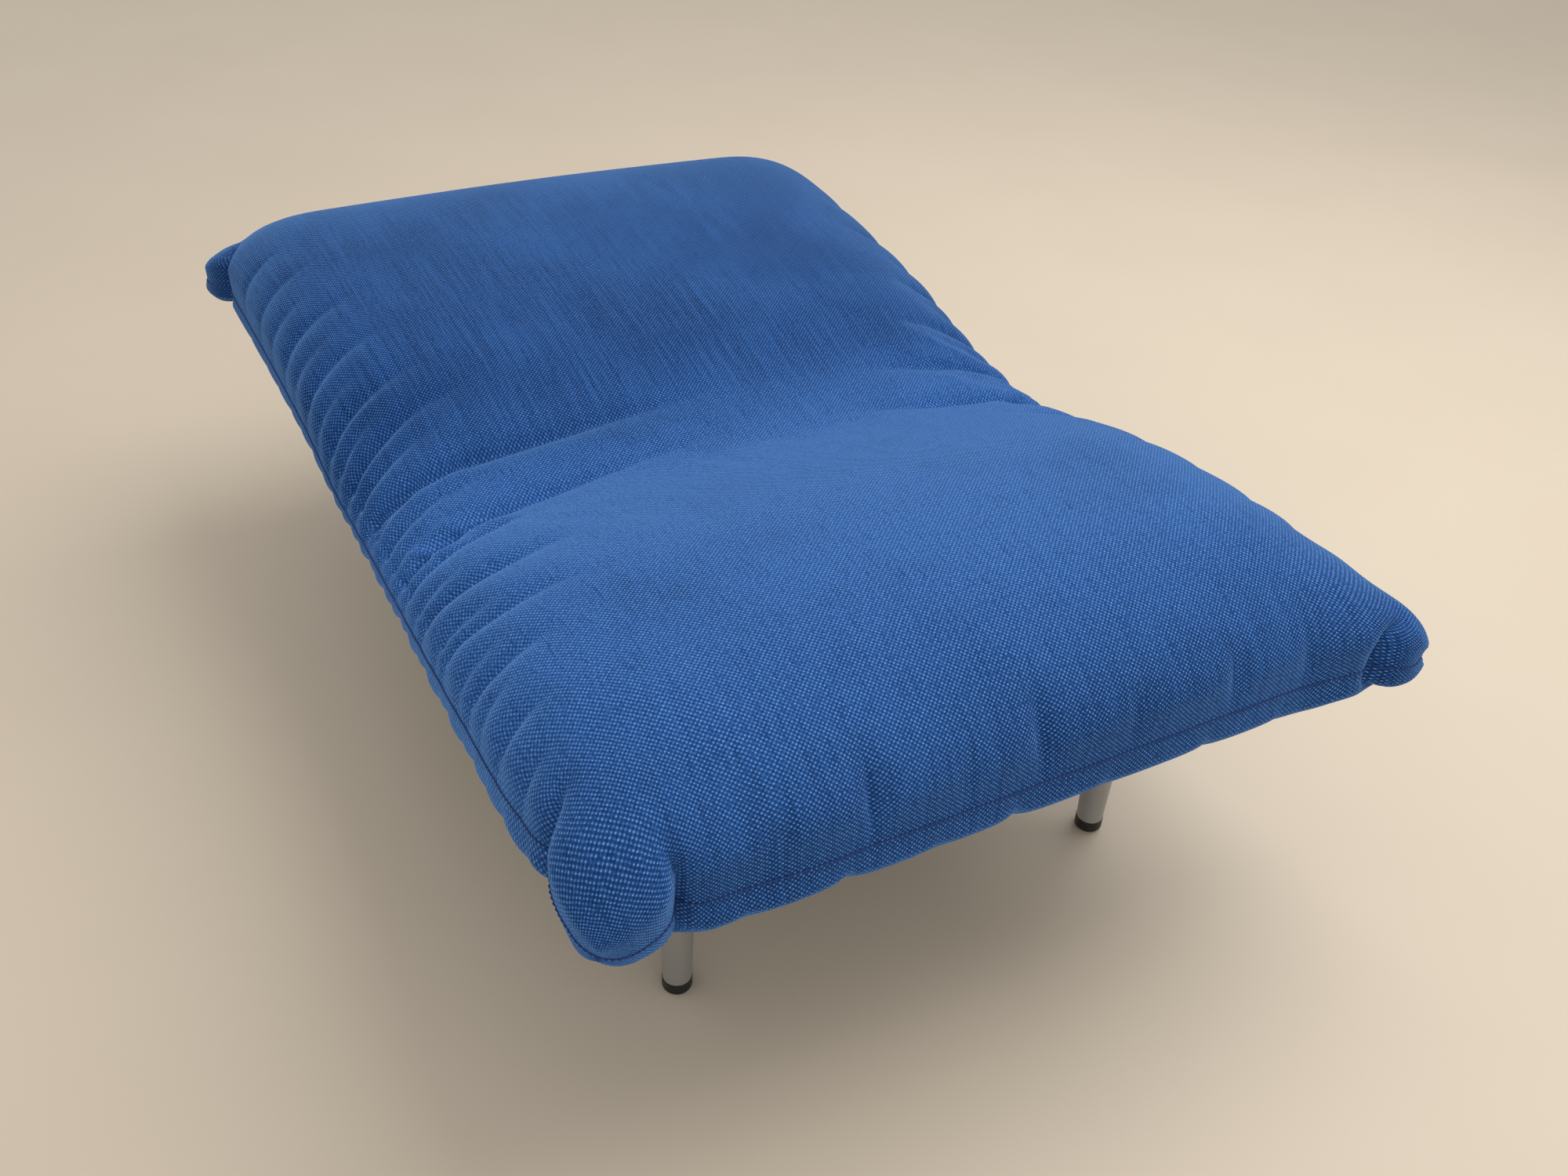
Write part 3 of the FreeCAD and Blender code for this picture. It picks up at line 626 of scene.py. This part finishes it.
def rubbed_and_lit_cloth(tree, coordinates, lengthways):
    """How far the cloth is fuzzy from rubbing, and how much painted light brightens it, in a cloudy zone across
    the seat.
    """
    begins, fullest, still, ends = RUBBED_AND_LIT
    near, far = ranged(tree, lengthways, begins, fullest), ranged(tree, lengthways, ends, still)
    zone = maths(tree, "MULTIPLY", near, far)
    cloud = ranged(tree, noise(tree, coordinates, 5.0, 4.0), 0.15, 0.50, 0.0, 0.80)
    return maths(tree, "MULTIPLY", zone, cloud)


def yarn_ground(tree, coordinates, yarn, rubbed_and_lit):
    """Colour of the cloth between its light floats: streaky, with dark slubs, and fuzzy and lighter across the
    seat, where the lighter colour is partly rubbing and partly painted light.
    """
    slub = noise(tree, stretched(tree, coordinates, 320.0, 30.0), 1.0, 3.0, 0.6)
    streak = noise(tree, stretched(tree, coordinates, 290.0, 8.0), 1.0, 2.0)
    streak = maths(tree, "MULTIPLY", streak, 0.55)
    shade = maths(tree, "MULTIPLY_ADD", noise(tree, coordinates, 7.0, 3.0), 0.45, streak)
    plain = mixed(tree, ranged(tree, shade, 0.38, 0.62), (0.004, 0.034, 0.140, 1), (0.014, 0.070, 0.245, 1))
    # Lighter colour across the seat: fuzz from rubbing, and also painted light
    lit_fuzz = mixed(tree, ranged(tree, yarn, 0.35, 0.65), (0.018, 0.088, 0.310, 1), (0.045, 0.155, 0.460, 1))
    dark = maths(tree, "MULTIPLY", ranged(tree, slub, 0.52, 0.68), 0.45)
    return mixed(tree, dark, mixed(tree, rubbed_and_lit, plain, lit_fuzz), (0.004, 0.030, 0.135, 1))


def basket_weave(tree, split, wander):
    """From -1 to 1, in staggered rows that wander a little: high on the floats, low in the pits between."""
    turn = 2 * math.pi / CLOTH_REPEAT
    across = maths(tree, "MULTIPLY_ADD", wander, 1.6, maths(tree, "MULTIPLY", split.outputs[0], turn))
    along_it = maths(tree, "MULTIPLY_ADD", wander, 1.2, maths(tree, "MULTIPLY", split.outputs[1], turn))
    return maths(tree, "MULTIPLY", maths(tree, "COSINE", across), maths(tree, "COSINE", along_it))


def quilt_cloth():
    """Blue basket weave: light floats in staggered rows over a darker ground, with a blue bloom. Painted light
    makes the seat lighter and painted shade makes the backrest darker.
    """
    material, tree, shader = new_material("quilt_cloth")
    coordinates = node(tree, "ShaderNodeUVMap", uv_map="cloth").outputs["UV"]
    split = node(tree, "ShaderNodeSeparateXYZ")
    tree.links.new(coordinates, split.inputs[0])
    lengthways = split.outputs[1]
    weave = basket_weave(tree, split, noise(tree, coordinates, 90.0, 2.0))
    yarn = noise(tree, coordinates, 420.0, 2.0, 0.6)
    # Painted light: the seat's zone is fuzzier from rubbing and also painted lighter than the backrest
    rubbed_and_lit = rubbed_and_lit_cloth(tree, coordinates, lengthways)
    crisp = maths(tree, "MULTIPLY_ADD", rubbed_and_lit, -0.30, 1.0)
    # Painted shade: the light floats fade out over the backrest, which makes it darker
    backrest_shade = ranged(tree, lengthways, RUBBED_AND_LIT[2], RUBBED_AND_LIT[3], 1.0, BACKREST_SHADE_FLOATS)
    raised, even = ranged(tree, weave, 0.25, 0.95), ranged(tree, yarn, 0.30, 0.62)
    floats = maths(tree, "MULTIPLY", raised, even, clamp=True)
    floats = maths(tree, "MULTIPLY", maths(tree, "MULTIPLY", floats, crisp), backrest_shade)
    pits = maths(tree, "MULTIPLY", ranged(tree, weave, -0.15, -0.9), crisp)
    ground = yarn_ground(tree, coordinates, yarn, rubbed_and_lit)
    ground = mixed(tree, maths(tree, "MULTIPLY", pits, 0.80), ground, (0.002, 0.018, 0.090, 1))
    colour = mixed(tree, maths(tree, "MULTIPLY", floats, 0.95), ground, (0.175, 0.380, 0.830, 1))
    tree.links.new(colour, shader.inputs["Base Color"])
    shader.inputs["Roughness"].default_value = 0.9
    shader.inputs["Specular IOR Level"].default_value = 0.1
    shader.inputs["Sheen Weight"].default_value = 1.0
    shader.inputs["Sheen Roughness"].default_value = 0.28
    shader.inputs["Sheen Tint"].default_value = (0.20, 0.46, 1.0, 1)
    bumped(tree, shader, maths(tree, "MULTIPLY_ADD", yarn, 0.35, weave), 0.0005, 0.7)
    return material


def surface(name, clean, scuffed, roughness, grain, metallic=0.0, relief=0.0001, stretch=(1, 1, 1)):
    """A hard material whose colour and roughness wander with a fine grain and a broad cloudiness."""
    material, tree, shader = new_material(name)
    place = node(tree, "ShaderNodeTexCoord").outputs["Object"]
    fine = noise(tree, stretched(tree, place, *stretch), grain, 4.0, 0.6)
    cloud = noise(tree, place, 9.0, 3.0)
    scuff = maths(tree, "MULTIPLY", ranged(tree, cloud, 0.45, 0.72), ranged(tree, fine, 0.45, 0.60))
    tree.links.new(mixed(tree, scuff, clean, scuffed), shader.inputs["Base Color"])
    tree.links.new(ranged(tree, fine, 0.3, 0.7, roughness[0], roughness[1]), shader.inputs["Roughness"])
    shader.inputs["Metallic"].default_value = metallic
    bumped(tree, shader, fine, relief)
    return material


def thread_cloth():
    """Dark blue twisted thread."""
    material, tree, shader = new_material("seam_thread")
    place = node(tree, "ShaderNodeTexCoord").outputs["Object"]
    fine = noise(tree, place, 900.0, 3.0)
    colour = mixed(tree, fine, (0.004, 0.022, 0.110, 1), (0.010, 0.050, 0.210, 1))
    tree.links.new(colour, shader.inputs["Base Color"])
    shader.inputs["Roughness"].default_value = 0.8
    bumped(tree, shader, fine, 0.0003)
    return material


def webbing_cloth():
    """Black woven elastic webbing: fine staggered ribs, with a little paler lint."""
    material, tree, shader = new_material("woven_webbing")
    split = node(tree, "ShaderNodeSeparateXYZ")
    place = node(tree, "ShaderNodeTexCoord").outputs["Object"]
    tree.links.new(place, split.inputs[0])
    turn = 2 * math.pi / WEBBING_REPEAT
    waves = [maths(tree, "SINE", maths(tree, "MULTIPLY", split.outputs[k], turn)) for k in (0, 1)]
    ribs = maths(tree, "MULTIPLY", *waves)
    lint = noise(tree, place, 350.0, 3.0)
    shade = mixed(tree, ranged(tree, ribs, -0.8, 0.8), (0.008, 0.008, 0.010, 1), (0.030, 0.030, 0.034, 1))
    colour = mixed(tree, ranged(tree, lint, 0.55, 0.8), shade, (0.060, 0.060, 0.065, 1))
    tree.links.new(colour, shader.inputs["Base Color"])
    shader.inputs["Roughness"].default_value = 0.85
    bumped(tree, shader, ribs, 0.0004)
    return material


def finishes():
    """Material of every slot of the frame's own nodes: two colours, then the range of roughness."""
    return {
        "webbing": webbing_cloth(),
        "frame_steel": surface(
            "charcoal_powder_coat", (0.050, 0.050, 0.055, 1), (0.085, 0.085, 0.090, 1), (0.42, 0.60),
            grain=700.0, relief=0.00015),
        "leg_steel": surface(
            "silver_lacquer", (0.34, 0.34, 0.33, 1), (0.25, 0.25, 0.245, 1), (0.30, 0.44),
            grain=1400.0, metallic=0.55),
        "hinge_steel": surface(
            "plated_steel", (0.52, 0.51, 0.47, 1), (0.33, 0.32, 0.29, 1), (0.26, 0.48),
            grain=260.0, metallic=1.0, stretch=(1, 1, 6)),
        "zinc_fasteners": surface(
            "zinc_plate", (0.62, 0.61, 0.56, 1), (0.40, 0.39, 0.35, 1), (0.22, 0.40),
            grain=420.0, metallic=1.0),
        "black_rubber": surface(
            "black_rubber", (0.004, 0.004, 0.004, 1), (0.014, 0.013, 0.012, 1), (0.36, 0.55), grain=500.0),
        "black_plastic": surface(
            "black_plastic", (0.016, 0.016, 0.017, 1), (0.028, 0.028, 0.029, 1), (0.34, 0.50), grain=800.0),
        "nylon": surface(
            "white_nylon", (0.62, 0.60, 0.54, 1), (0.50, 0.48, 0.42, 1), (0.32, 0.46), grain=600.0),
    }


def dress_frame():
    """Give every node that still shows the material of its slot."""
    by_slot = finishes()
    for part in frame["record"]["subparts"]:
        if part["material_slot"] in by_slot:
            for holder in frame["nodes"][part["node"]].material_slots:
                holder.material = by_slot[part["material_slot"]]


# ---- the set: floor, light and camera ----

def pale_floor():
    """A wide plain floor, so that its edge is far behind the chair from any side."""
    mesh = bpy.data.meshes.new("floor")
    far = FLOOR_REACH
    mesh.from_pydata([(-far, -far, 0), (far, -far, 0), (far, far, 0), (-far, far, 0)], [], [(0, 1, 2, 3)])
    floor = new_object("floor", mesh)
    material, tree, shader = new_material("floor_paint")
    place = node(tree, "ShaderNodeTexCoord").outputs["Object"]
    tone = mixed(tree, noise(tree, place, 3.0, 3.0), (0.58, 0.50, 0.40, 1), (0.62, 0.54, 0.435, 1))
    tree.links.new(tone, shader.inputs["Base Color"])
    shader.inputs["Roughness"].default_value = 0.55
    mesh.materials.append(material)


def area_light(name, place, target, size, power):
    light = bpy.data.lights.new(name, "AREA")
    light.shape = "RECTANGLE"
    light.size, light.size_y = size
    light.energy = power
    light.color = (1.0, 0.98, 0.95)
    lamp = new_object(name, light)
    lamp.location = place
    lamp.rotation_mode = "QUATERNION"
    lamp.rotation_quaternion = (Vector(target) - Vector(place)).to_track_quat("-Z", "Y")


def studio_light():
    """A big lamp overhead to the right, a weak one behind the camera, and warm light from all round."""
    middle = (0, 0, 0.3)
    area_light("overhead", (1.3, -0.1, 2.4), middle, (2.4, 2.4), 50)
    area_light("room", (-1.2, -2.6, 1.6), middle, (3.0, 1.6), 9)
    world = bpy.data.worlds.new("room")
    world.use_nodes = True
    background = world.node_tree.nodes["Background"]
    background.inputs["Color"].default_value = (1.0, 0.97, 0.93, 1)
    background.inputs["Strength"].default_value = 0.74
    bpy.context.scene.world = world
    bpy.context.scene.view_settings.view_transform = "Standard"


def photo_camera():
    """The camera where the photograph was taken from."""
    level_part = math.cos(CAMERA_DOWN)
    forward = Vector((math.sin(CAMERA_RIGHT) * level_part, math.cos(CAMERA_RIGHT) * level_part,
                      -math.sin(CAMERA_DOWN)))
    level = Vector((math.cos(CAMERA_RIGHT), -math.sin(CAMERA_RIGHT), 0))
    upright = level.cross(forward)
    right = math.cos(CAMERA_ROLL) * level + math.sin(CAMERA_ROLL) * upright
    up = math.cos(CAMERA_ROLL) * upright - math.sin(CAMERA_ROLL) * level
    turned = Matrix((right, up, -forward)).transposed().to_4x4()
    camera = new_object("camera", bpy.data.cameras.new("camera"))
    camera.data.lens = CAMERA_LENS
    camera.data.sensor_width = 36.0
    camera.data.clip_start = 0.05
    camera.matrix_world = Matrix.Translation(CAMERA_PLACE) @ turned
    bpy.context.scene.camera = camera


# ---- make it ----

photo_camera()
studio_light()
pale_floor()

dress_frame()

top_panel, under_panel, cloth_lays = quilt_grids()
quilt = quilt_piece(top_panel, under_panel, cloth_lays)
quilt.data.materials.append(quilt_cloth())
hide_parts("seat_cover", "seat_filling", "bend_cover", "bend_filling", "back_cover", "back_filling")
thread = thread_piece(seam_line(top_panel))
thread.data.materials.append(thread_cloth())
for piece in (quilt, thread):
    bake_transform(piece)
